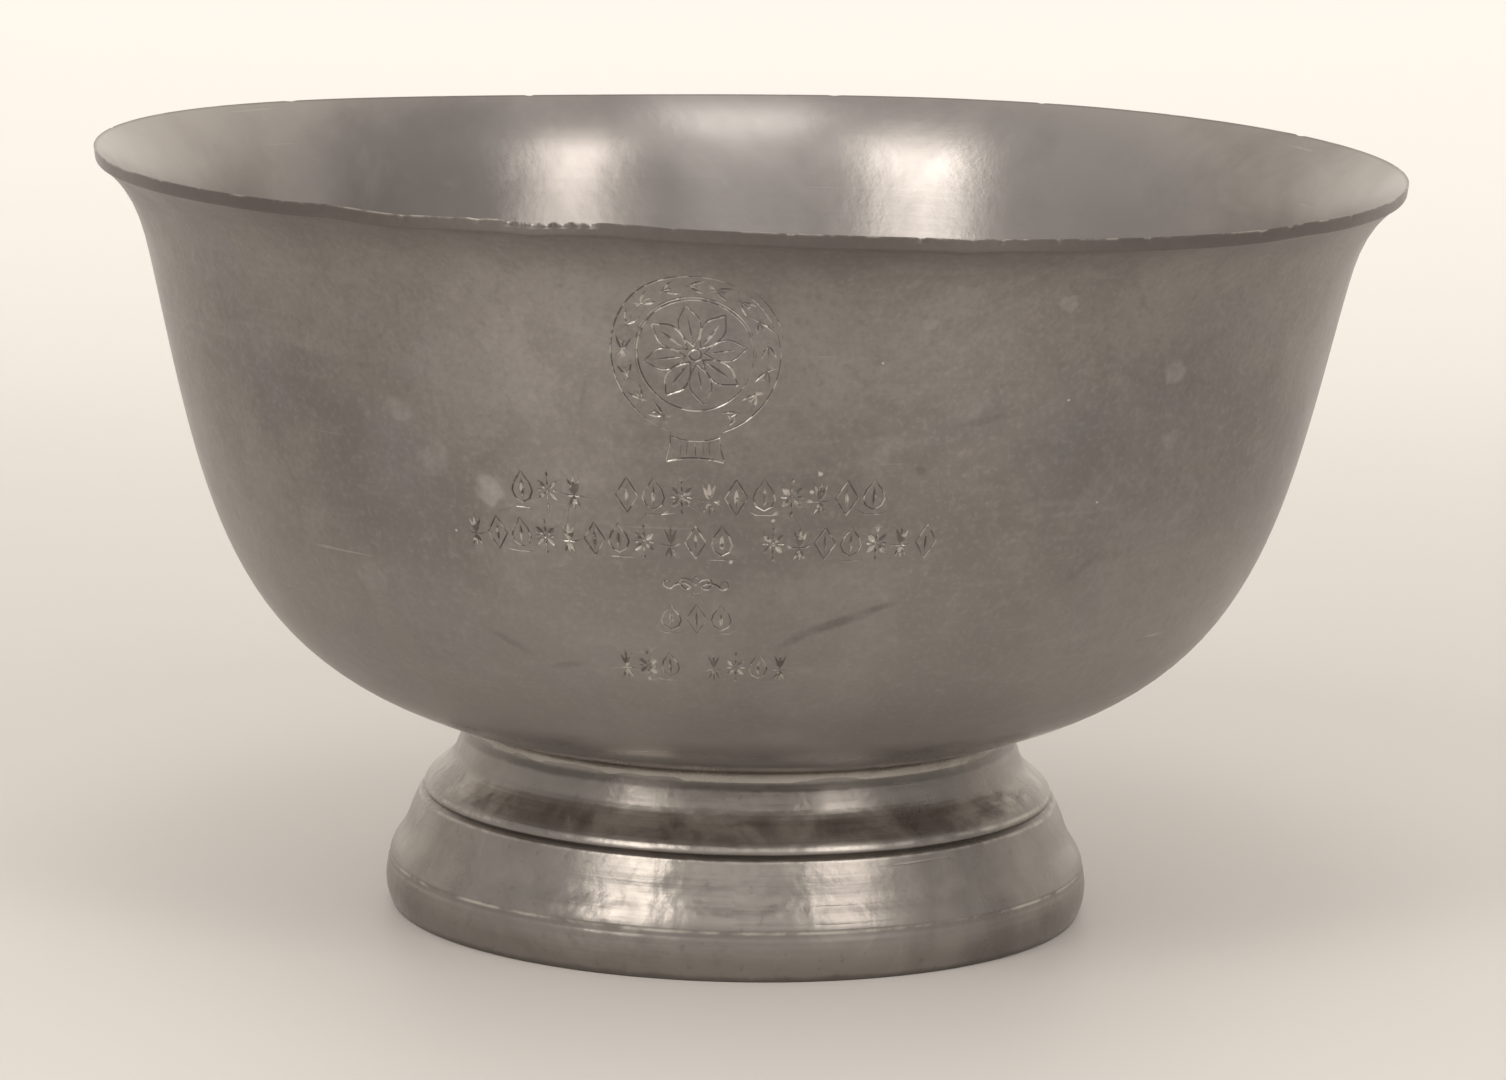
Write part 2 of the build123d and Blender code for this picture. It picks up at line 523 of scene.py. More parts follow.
def cutRow(row, seed):
    hand = random.Random(seed)       # the engraver's hand is never quite even
    pitch = (row["right"] - row["left"]) / row["marks"]
    done = 0
    for place in range(row["marks"]):
        if place in row["empty"]:
            continue
        x = row["left"] + (place + 0.5) * pitch + hand.uniform(-0.06, 0.06)
        slope = row["lean"] * (place + 0.5 - row["marks"] / 2) / row["marks"]
        y = row["y"] + slope + hand.uniform(-0.07, 0.07)
        draw = marks[row["marksUsed"][done % len(row["marksUsed"])]]
        strength = hand.uniform(0.8, 1.15)
        draw(x, y, pitch * 0.94, row["tall"] * hand.uniform(0.97, 1.04), ornament["hair"] * strength,
             ornament["cut"] * strength)
        done += 1


def cutMedal(medal, tab):
    x, y = medal["x"], medal["y"]
    wideScale = wallRadius / 69.3      # the wall is wider than wallRadius this high up
    hair = ornament["hair"]

    def ring(radius, start, end, width, steps):
        stroke(arc(x, y, radius * wideScale, radius, start, end, steps), width, (0.5, 0.5))

    # the outer ring is broken by the tab below and stepped at the upper right
    ring(medal["outer"], 58, 252, hair * 1.2, 90)
    ring(medal["outer"] + 0.5, 15, 48, hair, 18)
    ring(medal["outer"] - 0.2, 22, 50, hair, 18)
    ring(medal["outer"], -70, 16, hair * 1.2, 44)
    ring(medal["inner"] + 0.28, 0, 200, hair, 80)
    ring(medal["inner"], 0, 356, hair * 1.3, 120)
    # a wreath of leaf pairs between the rings
    middle = (medal["outer"] + medal["inner"] + 0.28) / 2
    count = medal["leaves"]
    for leaf in range(count):
        turn = 248 - 318 * (leaf + 0.5) / count
        px, py = towards(turn, middle)
        backX, backY = towards(turn - 90, 0.7)
        sx, sy = x + px * wideScale - backX, y + py - backY
        for side in (-1, 1):
            chip(sx, sy, 1.75, turn - 90 + side * 27, 0.42, side * 0.12)
        stemX, stemY = towards(turn - 90, 0.8)
        stroke([(sx, sy), (sx + stemX, sy + stemY)], hair)
    # a double rosette in the middle
    edge = [(1.0, 0), (2.3, 0.95), (3.8, 1.15), (5.0, 0.4), (5.5, 0)]
    petalLine = edge + [(px, -py) for px, py in edge[-2::-1]]
    for petal in range(8):
        turn = 45 * petal + 10
        strong = petal % 2
        loop = smoothed(placed(petalLine, 0, 0, math.radians(turn)), 3)
        stroke([(x + px * wideScale, y + py) for px, py in loop], hair * (1.4 if strong else 1.0))
        px, py = towards(turn, 1.3)
        chip(x + px, y + py, 3.1, turn, 0.5 if strong else 0.3)
    stroke(arc(x, y, 0.62, 0.62, 0, 350, 14), hair * 1.5)
    # the flared tab below, with an arched foot and hatching
    top, bottom, narrow, broad = tab["top"], tab["bottom"], tab["topHalf"], tab["bottomHalf"]
    for side in (-1, 1):
        stroke([(x + side * narrow, top + 0.4), (x + side * (narrow + 0.05), (top + bottom) / 2 + 0.2),
                (x + side * broad, bottom)], hair * 1.2, (0.6, 0.9))
    across = np.linspace(-1, 1, 11)
    stroke([(x + broad * t, bottom + 0.42 * (1 - t * t) - 0.1) for t in across], hair * 1.5)
    stroke([(x + narrow * t, top + 0.15 - 0.5 * (1 - t * t)) for t in across], hair)
    stroke([(x, top - 0.6), (x, bottom + 0.7)], hair * 2.2, (0.4, 0.4))
    for side in (-1, 1):
        for line in range(2):
            px = x + side * (0.8 + 0.65 * line)
            stroke([(px, top - 0.45 - 0.1 * line), (px + side * 0.12, bottom + 0.75)], hair, (0.4, 0.4))


def cutFlourish(values):
    x, y, half = values["x"], values["y"], values["half"]
    hair = ornament["hair"]
    for side in (-1, 1):
        scroll = smoothed([(0, 0), (0.18, 0.42), (0.42, 0.5), (0.5, 0.1), (0.34, -0.32), (0.18, -0.1),
                           (0.4, 0.2), (0.66, 0.02), (0.82, -0.3), (1.0, -0.1), (0.98, 0.28),
                           (0.84, 0.3), (0.8, 0.05)], 4)
        stroke([(x + side * px * half, y + py * 1.5) for px, py in scroll], hair * 1.6, (0.5, 0.4))
    stroke([(x - 0.35, y - 0.75), (x, y - 1.2), (x + 0.35, y - 0.75)], hair * 1.4, (0.4, 0.4))
    stroke([(x - 0.3, y + 0.75), (x, y + 1.1), (x + 0.3, y + 0.75)], hair * 1.4, (0.4, 0.4))


def smoothed(points, per):
    # a round-cornered line through a few points
    pts = [Vector((*p, 0)) for p in points]
    made = []
    for i in range(len(pts) - 1):
        before, start, end = pts[max(i - 1, 0)], pts[i], pts[i + 1]
        after = pts[min(i + 2, len(pts) - 1)]
        for step in range(per):
            t = step / per
            spot = 0.5 * (2 * start + (end - before) * t + (2 * before - 5 * start + 4 * end - after) * t * t
                          + (3 * start - before - 3 * end + after) * t ** 3)
            made.append((spot.x, spot.y))
    made.append(points[-1])
    return made


# scratches deep enough to have a shape, as (points, width)
scratches = [
    ([(30.0, 77.3), (30.25, 73.4)], 0.13),
    ([(38.2, 67.9), (40.6, 67.8)], 0.12),
    ([(4.6, 68.3), (9.0, 69.9), (14.9, 72.2)], 0.09),
    ([(5.6, 67.0), (10.4, 69.2)], 0.08),
    ([(33.4, 80.1), (35.2, 82.6)], 0.08),
    ([(-20.6, 59.5), (-14.0, 58.7)], 0.08),
    ([(-38.0, 88.5), (-35.6, 89.4)], 0.09),
    ([(18.4, 93.0), (21.2, 92.5)], 0.08),
]


def cutOrnament():
    for seed, row in enumerate(ornament["rows"]):
        cutRow(row, seed + 5)
    cutMedal(ornament["medal"], ornament["tab"])
    cutFlourish(ornament["flourish"])
    for points, width in scratches:
        stroke(points, width, (0.3, 0.3))


cutOrnament()
print("strokes cut:", len(cuts))


def strokeOutline(points, half):
    # both edges of a cut, as one closed line of points
    slope = np.gradient(points, axis=0)
    slope /= np.maximum(np.hypot(*slope.T), 1e-9)[:, None]
    side = np.c_[-slope[:, 1], slope[:, 0]] * half[:, None]
    return np.vstack([points + side, (points - side)[::-1]])


deepest = 0.15        # mm
steepness = 0.75      # depth for each mm in from the edge of a cut, until it nears the deepest


def cutDepth(x, y):
    # how deep the graver went at each place, in mm
    depth = np.zeros_like(x)
    for points, half in cuts:
        reach = half.max()
        low, high = points.min(0) - reach, points.max(0) + reach
        near = np.nonzero((x > low[0]) & (x < high[0]) & (y > low[1]) & (y < high[1]))[0]
        if not len(near):
            continue
        spot = np.c_[x[near], y[near]]
        best = np.zeros(len(near))
        for a, b, wa, wb in zip(points[:-1], points[1:], half[:-1], half[1:]):
            run = b - a
            share = np.clip(((spot - a) @ run) / max(run @ run, 1e-12), 0, 1)
            gap = np.hypot(*(spot - a - share[:, None] * run).T)
            best = np.maximum(best, wa + (wb - wa) * share - gap)
        depth[near] = np.maximum(depth[near], best)
    return deepest * np.tanh(depth * steepness / deepest)


def bowlRows():
    # (way along the section, columns) of every ring of the bowl's mesh
    rows = []
    total = travel[-1]

    def even(start, end, gap, columns, last=True):
        count = max(int(round(abs(end - start) / gap)), 1)
        for i in range(count + (1 if last else 0)):
            rows.append((start + (end - start) * i / count, columns))

    gap, columns, fine = bowl["rowGap"], bowl["columns"], bowl["rimColumns"]
    even(0, rimStart - 4.0, gap, columns, False)
    even(rimStart - 4.0, rimStart - 0.9, 0.8, columns * 2, False)
    even(rimStart - 0.9, rimStart - 0.1, 0.3, fine, False)
    even(rimStart, rimEnd, 0.105, fine, True)
    even(rimEnd + 0.12, rimEnd + 0.9, 0.26, fine, False)
    even(rimEnd + 0.9, rimEnd + 4.5, 0.9, columns * 2, False)
    even(rimEnd + 4.5, total, gap, columns, True)
    return rows


def makeBowl():
    wide = math.pi * wallRadius
    spots = []

    def add(x, y):
        spots.append(Vector((x, y)))
        return len(spots) - 1

    edges = []
    sideLeft, sideRight = [], []
    for s, columns in bowlRows():
        for i in range(columns + 1):
            here = add(-wide + 2 * wide * i / columns, s)
            if i == 0:
                sideLeft.append(here)
            if i == columns:
                sideRight.append(here)
    for points, half in cuts:
        first = [add(*p) for p in points]
        edges += list(zip(first[:-1], first[1:]))
        rim = [add(*p) for p in strokeOutline(points, half)]
        edges += list(zip(rim, rim[1:] + rim[:1]))
    net = delaunay_2d_cdt(spots, edges, [], 0, 2e-4, False)
    flat, faces = np.array([tuple(p) for p in net[0]]), net[2]
    tris = np.array([f for f in faces if len(f) == 3], int)
    print("bowl net:", len(flat), "points,", len(tris), "triangles")

    angle, s = flat[:, 0] / wallRadius, flat[:, 1]
    depth = cutDepth(flat[:, 0], flat[:, 1])
    place = bowlSurface(angle, s)
    stepAngle, stepAlong = 0.0012, 0.03
    acrossLine = bowlSurface(angle + stepAngle, s) - bowlSurface(angle - stepAngle, s)
    above, below = np.minimum(s + stepAlong, travel[-1]), np.maximum(s - stepAlong, 0)
    upLine = bowlSurface(angle, above) - bowlSurface(angle, below)
    normal = np.cross(acrossLine, upLine)
    length = np.linalg.norm(normal, axis=1)
    pole = length < 1e-9
    normal[pole] = np.where(s[pole] < 1, -1, 1)[:, None] * np.array([0, 0, 1])
    normal /= np.maximum(np.linalg.norm(normal, axis=1), 1e-12)[:, None]
    place = place - normal * depth[:, None]

    # close the shell: the two sides of the net are one line, and each pole is one point
    weld = np.arange(len(flat))
    key = {}
    for i in np.nonzero(np.abs(np.abs(flat[:, 0]) - wide) < 1e-3)[0]:
        key.setdefault(round(float(flat[i, 1]), 3), []).append(i)
    for same in key.values():
        weld[same] = min(same)
    for end in (0.0, travel[-1]):
        ring = np.nonzero(np.abs(flat[:, 1] - end) < 1e-3)[0]
        weld[ring] = ring.min()
    tris = weld[tris]
    tris = tris[(tris[:, 0] != tris[:, 1]) & (tris[:, 1] != tris[:, 2]) & (tris[:, 2] != tris[:, 0])]
    used = np.unique(tris)
    renumber = np.zeros(len(flat), int)
    renumber[used] = np.arange(len(used))
    tris = renumber[tris]
    place, normal, depth, s, angle = place[used], normal[used], depth[used], s[used], angle[used]

    mesh = bpy.data.meshes.new("bowlShell")
    mesh.from_pydata((place * mm).tolist(), [], tris.tolist())
    mesh.update()
    corner = tris.reshape(-1)
    shown = normal[corner].reshape(-1, 3, 3)
    a, b, c = place[tris[:, 0]], place[tris[:, 1]], place[tris[:, 2]]
    faceNormal = np.cross(b - a, c - a)
    size = np.linalg.norm(faceNormal, axis=1)
    faceNormal /= np.maximum(size, 1e-12)[:, None]
    engraved = (depth[tris].max(1) > 1e-4) & (size > 1e-9)
    shown[engraved] = faceNormal[engraved][:, None, :]
    mesh.polygons.foreach_set("use_smooth", [True] * len(tris))
    mesh.normals_split_custom_set(shown.reshape(-1, 3).tolist())

    # what the finish reads: inside, depth of a cut, the arris, the nicks and the face of the rim
    inner = smoothStep(s, rimEnd - 0.1, rimEnd + 0.3)
    edge = np.clip(1 - np.abs(s - rimEnd + bowl["arrisInset"]) / 0.22, 0, 1)
    bitten = np.clip(nickDepth(angle) * 5, 0, 1) * np.clip(1 - np.abs(s - rimEnd + 0.12) / 0.34, 0, 1)
    face = smoothStep(s, rimStart - 0.1, rimStart + 0.1) * (1 - smoothStep(s, rimEnd - 0.25, rimEnd - 0.05))
    for name, value in (("inner", inner), ("cut", np.clip(depth / 0.1, 0, 1)), ("edge", edge),
                        ("bitten", bitten), ("face", face)):
        made = mesh.attributes.new(name, "FLOAT", "POINT")
        made.data.foreach_set("value", value.astype(np.float32))
    unrolled = mesh.uv_layers.new(name="unrolled")
    turns, ways = angle[corner].reshape(-1, 3), s[corner].reshape(-1, 3)
    crossing = (turns.max(1) - turns.min(1)) > math.pi
    turns[crossing] += np.where(turns[crossing] < 0, 2 * math.pi, 0)
    places = np.stack([turns * wallRadius * mm, ways * mm], -1)
    unrolled.data.foreach_set("uv", places.reshape(-1).astype(np.float32))
    shell = bpy.data.objects.new("bowlShell", mesh)
    bpy.context.scene.collection.objects.link(shell)
    print("bowl made:", len(tris), "triangles,", int(engraved.sum()), "in the engraving")
    return shell


# pewter

pewter = {
    "outside": {"dark": (0.198, 0.181, 0.168), "mid": (0.285, 0.263, 0.247), "pale": (0.375, 0.351, 0.332)},
    "inside": {"dark": (0.275, 0.255, 0.243), "pale": (0.385, 0.362, 0.346)},
    "outsideRough": (0.40, 0.49),
    "insideRough": (0.31, 0.37),
    "spunSheen": 0.8,        # how far highlights stretch across the spinning marks
    "bright": (0.62, 0.58, 0.53),
    "cool": (0.225, 0.228, 0.236),
    "grimeAndShade": (0.055, 0.047, 0.040),
    "shade": (0.125, 0.112, 0.103),
    "oxide": (0.52, 0.50, 0.485),
    "speck": (0.55, 0.53, 0.50),
}

# pale oxide blooms on the wall as (degrees round, mm up the section, mm across, strength)
blooms = [
    (-24.6, 85.0, 2.1, 0.36), (-33.5, 93.2, 1.9, 0.26), (42.6, 98.8, 1.8, 0.30), (28.7, 108.4, 1.3, 0.26),
    (-30.5, 88.0, 2.6, 0.16), (15.8, 106.0, 1.0, 0.15), (-41.5, 72.0, 2.8, 0.14), (44.0, 90.5, 1.4, 0.15),
]
# white specks as (degrees round, mm up the section, mm across)
specks = [
    (7.0, 88.7, 0.36), (6.3, 86.6, 0.30), (2.8, 83.2, 0.26), (-1.1, 78.2, 0.30), (30.5, 96.5, 0.2),
    (36.0, 84.0, 0.18), (-28.9, 79.8, 0.18), (12.0, 101.4, 0.18),
]
# dark scuffs as (degrees round, mm up the section, mm long, mm wide, degrees of lean, strength)
scuffs = [
    (9.5, 70.6, 7.5, 0.9, 20, 0.55), (5.2, 68.2, 2.4, 0.7, 24, 0.4), (14.0, 72.6, 3.0, 0.6, 16, 0.4),
    (16.4, 89.0, 0.8, 1.0, 60, 0.5), (22.0, 94.5, 5.0, 0.7, 12, 0.3), (-25.0, 66.0, 4.0, 0.8, -30, 0.3),
    (-14.5, 97.0, 3.4, 0.6, 75, 0.22), (-19.0, 63.5, 3.2, 0.7, 10, 0.3), (36.0, 76.0, 4.0, 0.8, 40, 0.25),
]


def onWall(degrees, up):
    # a place on the unrolled wall, in metres
    return (math.radians(degrees) * wallRadius * mm, up * mm, 0.0)


def scuffMask(tree, where, place, long, wide, turn, fine):
    # a ragged dark stripe on the unrolled wall
    local = node(tree, "ShaderNodeMapping", {
        "Vector": where,
        "Location": place,
        "Rotation": (0, 0, math.radians(turn)),
        "Scale": (long * mm, wide * mm, 1),
    }, vector_type="TEXTURE").outputs[0]
    gap = node(tree, "ShaderNodeVectorMath", {0: local}, operation="LENGTH").outputs["Value"]
    return times(tree, spread(tree, gap, 0.25, 1.0, 1.0, 0.0), spread(tree, fine, 0.36, 0.6, 0.35, 1.0))


def spunShine(tree, shader, place, amount):
    # the marks of the spinning chuck run round the axis, so highlights spread across them
    around = vector(tree, "NORMALIZE", a=vector(tree, "CROSS_PRODUCT", a=(0, 0, 1), b=place))
    shader.inputs["Anisotropic"].default_value = amount
    shader.inputs["Anisotropic Rotation"].default_value = 0.25
    tree.links.new(around, shader.inputs["Tangent"])


def spotMask(tree, where, place, size, seed):
    # a soft-edged uneven spot round a place on the unrolled wall
    across = size * mm
    uneven = {"Vector": where, "Scale": 0.9 / across, "Detail": 3.0, "W": seed}
    shake = node(tree, "ShaderNodeTexNoise", uneven, noise_dimensions="4D").outputs["Color"]
    centred = vector(tree, "SUBTRACT", a=shake, b=(0.5, 0.5, 0.5))
    moved = vector(tree, "ADD", a=where, b=vector(tree, "SCALE", a=centred, size=across * 1.2))
    spot = node(tree, "ShaderNodeVectorMath", {0: moved, 1: place}, operation="DISTANCE").outputs["Value"]
    return spread(tree, spot, across * 0.55, across, 1.0, 0.0)


def bowlMetal(values):
    material, tree, shader = newMaterial("bowlPewter")
    shader.inputs["Metallic"].default_value = 1.0
    place = node(tree, "ShaderNodeTexCoord").outputs["Object"]
    flat = node(tree, "ShaderNodeUVMap", uv_map="unrolled").outputs[0]
    inner, cut, edge, bitten, face = [
        node(tree, "ShaderNodeAttribute", attribute_name=name).outputs["Fac"]
        for name in ("inner", "cut", "edge", "bitten", "face")]
    outer = calc(tree, "SUBTRACT", 1.0, inner)
    level = node(tree, "ShaderNodeSeparateXYZ", {"Vector": place}).outputs["Z"]
    spunShine(tree, shader, place, values["spunSheen"])

    # tarnish in clouds of several sizes, and streaks where the wall has been wiped
    broad = cloud(tree, place, 26.0, 5.0, 0.6, 0.4, 1.7)
    middle = cloud(tree, place, 95.0, 6.0, 0.62, 0.6, 4.2)
    fine = cloud(tree, place, 620.0, 4.0, 0.6, 0.0, 9.1)
    grain = cloud(tree, place, 1500.0, 2.0, 0.6, 0.0, 12.4)
    cool = cloud(tree, place, 40.0, 4.0, 0.55, 0.8, 7.7)
    wiped = cloud(tree, stretch(tree, flat, (60, 420, 1)), 1.0, 4.0, 0.6, 0.4, 2.6)
    dark, mid, pale = [values["outside"][tone] for tone in ("dark", "mid", "pale")]
    colour = blendColour(tree, spread(tree, broad, 0.32, 0.62), dark, mid)
    for paint, mask, low, high, amount in (
            (pale, middle, 0.5, 0.78, 0.45), (dark, middle, 0.5, 0.22, 0.35),
            (values["cool"], cool, 0.5, 0.68, 0.32), (pale, wiped, 0.52, 0.75, 0.22),
            (pale, fine, 0.52, 0.72, 0.28), (dark, fine, 0.48, 0.30, 0.38),
            (pale, grain, 0.5, 0.7, 0.22), (dark, grain, 0.5, 0.3, 0.26)):
        colour = tinted(tree, colour, paint, mask, low, high, amount)

    # painted reflection: paler underneath, where the foot's highlights show in the underside, and a little
    # paler low on the belly
    colour = blendColour(tree, spread(tree, level, 0.0235, 0.0330, 0.65, 0.0), colour, pale)
    colour = blendColour(tree, spread(tree, level, 0.034, 0.068, 0.35, 0.0), colour, pale)

    # the inside is cleaner
    inside = values["inside"]
    clean = blendColour(tree, spread(tree, broad, 0.35, 0.62), inside["dark"], inside["pale"])
    clean = tinted(tree, clean, values["oxide"], middle, 0.56, 0.74, 0.2)
    colour = blendColour(tree, inner, colour, clean)

    # blooms, specks and scuffs
    for seed, (degrees, up, size, strength) in enumerate(blooms):
        mask = times(tree, spotMask(tree, flat, onWall(degrees, up), size, seed * 2.3), strength)
        mask = times(tree, mask, spread(tree, fine, 0.30, 0.62, 0.45, 1.0))
        colour = blendColour(tree, mask, colour, values["oxide"])
    for seed, (degrees, up, size) in enumerate(specks):
        mask = spotMask(tree, flat, onWall(degrees, up), size, seed * 1.9 + 40)
        colour = blendColour(tree, mask, colour, values["speck"])
    for degrees, up, long, wide, turn, strength in scuffs:
        mask = scuffMask(tree, flat, onWall(degrees, up), long, wide, turn, fine)
        colour = blendColour(tree, times(tree, mask, strength), colour, values["shade"])

    # hair scratches, dirt and glints in the cuts
    lines = calc(tree, "MAXIMUM", hairScratches(tree, flat, 6, 3.0), hairScratches(tree, flat, -68, 8.0))
    colour = blendColour(tree, times(tree, lines, 0.20), colour, values["bright"])
    dirt = times(tree, spread(tree, middle, 0.36, 0.60, 0.35, 0.9), spread(tree, cut, 0.15, 0.9))
    colour = blendColour(tree, times(tree, dirt, 0.7), colour, values["grimeAndShade"])
    glint = times(tree, spread(tree, fine, 0.48, 0.56), spread(tree, cut, 0.15, 0.5))
    colour = blendColour(tree, times(tree, glint, 0.7), colour, values["bright"])

    # painted shade: the trimmed face of the rim and the hollow under the lip are darkened
    underLipShade = times(tree, times(tree, spread(tree, level, 0.0815, 0.0872), outer), 0.34)
    paintedShade = calc(tree, "MAXIMUM", underLipShade, times(tree, face, 0.78))
    paintedShade = times(tree, paintedShade, spread(tree, fine, 0.2, 0.6, 0.8, 1.0))
    colour = blendColour(tree, paintedShade, colour, values["shade"])

    # bright metal where the arris is worn and in the nicks
    patches = spread(tree, cloud(tree, place, 210.0, 3.0, 0.6, 0.0, 5.5), 0.50, 0.64)
    worn = times(tree, times(tree, edge, patches), 0.8)
    sparkle = spread(tree, cloud(tree, place, 900.0, 3.0, 0.6, 0.0, 8.3), 0.42, 0.58)
    worn = calc(tree, "MAXIMUM", worn, times(tree, bitten, sparkle))
    colour = blendColour(tree, worn, colour, values["bright"])
    tree.links.new(colour, shader.inputs["Base Color"])

    # smoother underneath, on the inside, along scratches and in the cuts
    outRough = spread(tree, middle, 0.3, 0.7, *values["outsideRough"])
    outRough = calc(tree, "SUBTRACT", outRough, spread(tree, level, 0.0240, 0.0295, 0.30, 0.0))
    inRough = spread(tree, middle, 0.3, 0.7, *values["insideRough"])
    rough = plus(tree, times(tree, outRough, outer), times(tree, inRough, inner))
    rough = calc(tree, "SUBTRACT", rough, times(tree, lines, 0.08))
    cutShine = times(tree, spread(tree, cut, 0.1, 0.5), 0.14)
    rough = calc(tree, "SUBTRACT", rough, cutShine, clamp=True)
    tree.links.new(rough, shader.inputs["Roughness"])

    # spun rings, soft unevenness and grain
    rings = cloud(tree, stretch(tree, flat, (8, 900, 1)), 1.0, 2.0, 0.5, 0.0, 6.3)
    height = plus(tree, times(tree, rings, 0.25), times(tree, fine, 0.45))
    height = plus(tree, height, times(tree, middle, 0.8))
    height = calc(tree, "SUBTRACT", height, times(tree, lines, 0.5))
    bump = node(tree, "ShaderNodeBump", {"Height": height, "Strength": 0.22, "Distance": 0.00025})
    tree.links.new(bump.outputs[0], shader.inputs["Normal"])
    return material


shell = makeBowl()
shell.data.materials.append(bowlMetal(pewter))
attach(shell, "root")
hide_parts("bowl")


# foot and solder, spun by Geometry Nodes

foot = {
    # outside from the neck down to the groove, then skirt, crease and band, as (radius, height) in mm
    "shoulder": [(32.35, 21.1), (32.6, 20.4), (32.95, 19.5), (33.3, 18.5), (33.75, 17.6),
                 (34.5, 16.75), (35.4, 16.0), (36.3, 15.2), (36.9, 14.5), (37.15, 13.9)],
    "groove": (36.98, 13.62),
    "skirt": [(37.6, 13.2), (38.45, 11.3), (39.2, 9.3), (39.9, 8.1), (40.6, 7.0), (41.0, 6.0)],
    "crease": (40.98, 5.5),
    "band": [(41.2, 5.0), (41.4, 3.4), (41.1, 1.2), (40.6, 0.0)],
    "inside": [(39.5, 0.0), (39.7, 3.8), (38.2, 8.0), (37.0, 11.4), (35.7, 13.9),
               (33.7, 16.2), (32.3, 18.1), (31.1, 20.4)],
    "neckTop": 21.6,
    "steps": 360,
    "wobble": 0.10,       # mm out of round
    "wobbleSize": 26.0,
    "seed": 3,
}


def freeSpline(points, count, startSlope=None, endSlope=None):
    p = np.array(points, float)
    first = startSlope or tuple((p[1] - p[0]) / np.hypot(*(p[1] - p[0])))
    last = endSlope or tuple((p[-1] - p[-2]) / np.hypot(*(p[-1] - p[-2])))
    return [tuple(q) for q in clampedSpline(points, first, last, count)]


def footProfile(values):
    shoulder = freeSpline(values["shoulder"], 24)
    skirt = freeSpline(values["skirt"], 22)
    band = freeSpline(values["band"], 12)
    inside = freeSpline(values["inside"], 26, (0, 1), (0, 1))
    top = values["neckTop"]
    ridge = roundedCorner(shoulder[-2], shoulder[-1], values["groove"], 0.22)
    shelf = roundedCorner(values["groove"], skirt[0], skirt[1], 0.18)
    lip = roundedCorner(skirt[-2], skirt[-1], values["crease"], 0.12, 3)
    under = roundedCorner(band[-2], band[-1], inside[0], 0.25)
    neck = (shoulder[0][0], top)
    line = [neck, *shoulder[:-1], *ridge, values["groove"], *shelf, *skirt[1:-1], *lip, values["crease"],
            *band[:-1], *under, *inside, (inside[-1][0], top), neck]
    return [tuple(map(float, p)) for p in line]


def spinTree(name):
    # turns a profile's points about Z: each ring of the grid takes its place from one profile point
    tree = bpy.data.node_groups.new(name, "GeometryNodeTree")
    face = tree.interface
    face.new_socket("Geometry", in_out="INPUT", socket_type="NodeSocketGeometry")
    for label, kind in (("Steps Around", "Int"), ("Profile Points", "Int"), ("Wobble", "Float"),
                        ("Wobble Size", "Float"), ("Seed", "Int"), ("Metal", "Material")):
        face.new_socket(label, in_out="INPUT", socket_type="NodeSocket" + kind)
    face.new_socket("Geometry", in_out="OUTPUT", socket_type="NodeSocketGeometry")
    given = tree.nodes.new("NodeGroupInput").outputs
    out = tree.nodes.new("NodeGroupOutput")
    around = plus(tree, given["Steps Around"], 1.0)
    grid = node(tree, "GeometryNodeMeshGrid", {"Vertices X": around, "Vertices Y": given["Profile Points"]})
    index = node(tree, "GeometryNodeInputIndex").outputs[0]
    column = calc(tree, "FLOOR", calc(tree, "DIVIDE", plus(tree, index, 0.5), given["Profile Points"]))
    row = calc(tree, "SUBTRACT", index, times(tree, column, given["Profile Points"]))
    turn = times(tree, calc(tree, "DIVIDE", column, given["Steps Around"]), 2 * math.pi)
    spot = node(tree, "GeometryNodeInputPosition").outputs[0]
    sample = node(tree, "GeometryNodeSampleIndex", data_type="FLOAT_VECTOR")
    tree.links.new(given["Geometry"], sample.inputs["Geometry"])
    tree.links.new(spot, sample.inputs["Value"])
    tree.links.new(row, sample.inputs["Index"])
    turned = node(tree, "ShaderNodeVectorRotate", {"Vector": sample.outputs[0], "Angle": turn},
                  rotation_type="Z_AXIS").outputs[0]
    noise = node(tree, "ShaderNodeTexNoise", {"Vector": turned, "Scale": given["Wobble Size"],
                                             "W": given["Seed"], "Detail": 2.0}, noise_dimensions="4D")
    swell = times(tree, calc(tree, "SUBTRACT", noise.outputs["Fac"], 0.5), given["Wobble"])
    outward = vector(tree, "NORMALIZE", a=vector(tree, "MULTIPLY", a=turned, b=(1, 1, 0)))
    moved = vector(tree, "ADD", a=turned, b=vector(tree, "SCALE", a=outward, size=swell))
    shaped = node(tree, "GeometryNodeSetPosition", {"Geometry": grid.outputs["Mesh"], "Position": moved})
    welded = node(tree, "GeometryNodeMergeByDistance", {"Geometry": shaped.outputs[0], "Distance": 2e-6})
    smooth = node(tree, "GeometryNodeSetShadeSmooth", {0: welded.outputs[0]})
    real = node(tree, "GeometryNodeRealizeInstances", {0: smooth.outputs[0]})
    painted = node(tree, "GeometryNodeSetMaterial", {"Geometry": real.outputs[0], "Material": given["Metal"]})
    tree.links.new(painted.outputs[0], out.inputs[0])
    return tree


